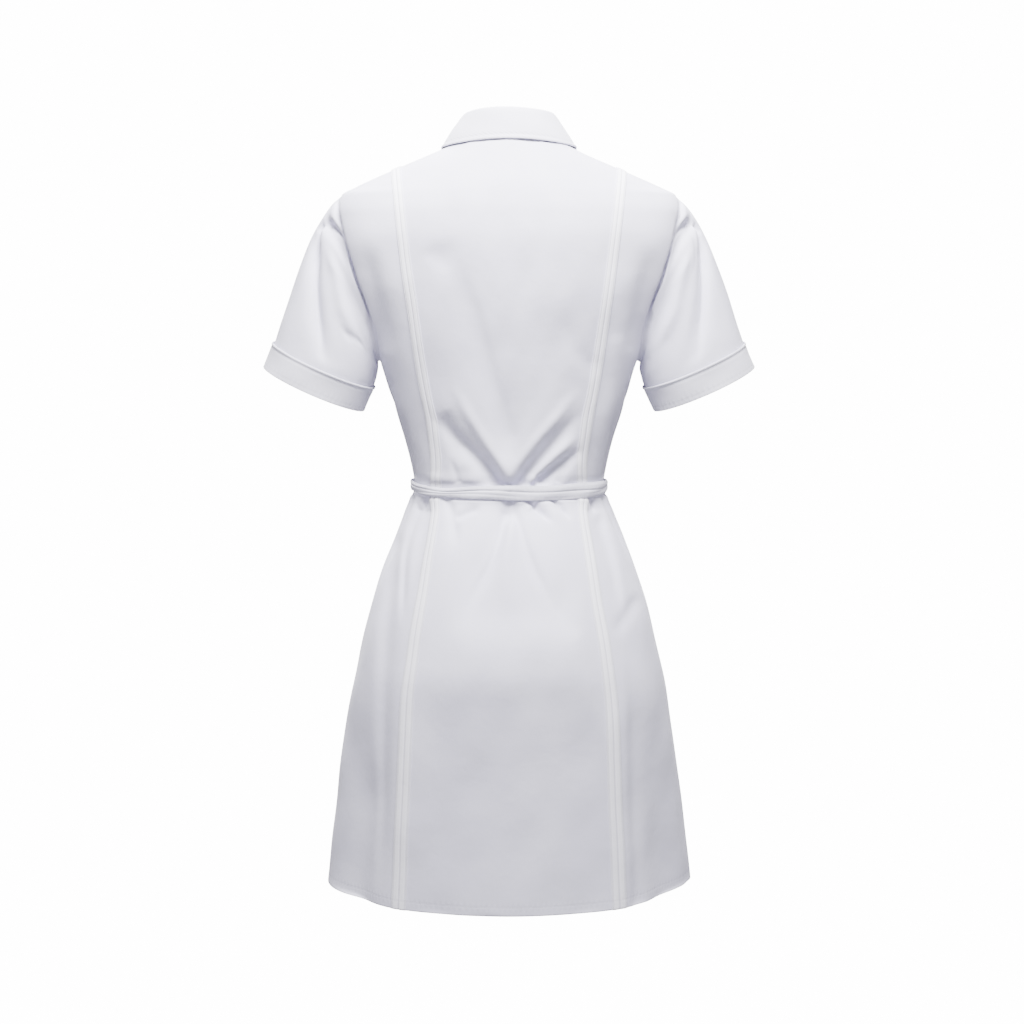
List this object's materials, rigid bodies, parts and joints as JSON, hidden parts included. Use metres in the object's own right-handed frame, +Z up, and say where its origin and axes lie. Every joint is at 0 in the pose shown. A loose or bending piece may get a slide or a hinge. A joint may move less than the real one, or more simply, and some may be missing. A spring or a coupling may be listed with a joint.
{
  "type": "nurse uniform dress",
  "caption": "Short-sleeved nurse uniform dress, filled out as worn, with a turned-down collar, banded back seams, button front, turned-up cuffs and a narrow belt.",
  "frame": {"origin": "the middle of the neck, level with the neck ends of the shoulder seams, where the dress sits on the wearer", "axes": "+Z up; -Y the way the wearer faces, so the back of the dress faces +Y; +X the wearer's left"},
  "size_m": [0.5816, 0.3135, 0.9133],
  "materials": {
    "white_cloth": "white plain-dyed cotton and polyester twill, lightly creased, with a faint sheen",
    "white_trim": "the same white twill, doubled and topstitched",
    "button_white": "moulded white resin, semi-gloss"
  },
  "bodies": {
    "root": {"back_centre": "white_cloth", "back_side_left": "white_cloth", "back_side_right": "white_cloth", "front_left": "white_cloth", "front_right": "white_cloth", "sleeve_left": "white_cloth", "sleeve_right": "white_cloth", "seam_band_left": "white_trim", "seam_band_right": "white_trim", "front_band": "white_trim", "cuff_left": "white_trim", "cuff_right": "white_trim", "collar_stand": "white_trim", "collar_leaf": "white_trim", "belt": "white_trim", "button_1": "button_white", "button_2": "button_white", "button_3": "button_white", "button_4": "button_white", "button_5": "button_white", "button_6": "button_white", "button_7": "button_white", "button_8": "button_white", "belt_button": "button_white"}
  },
  "joints": []
}
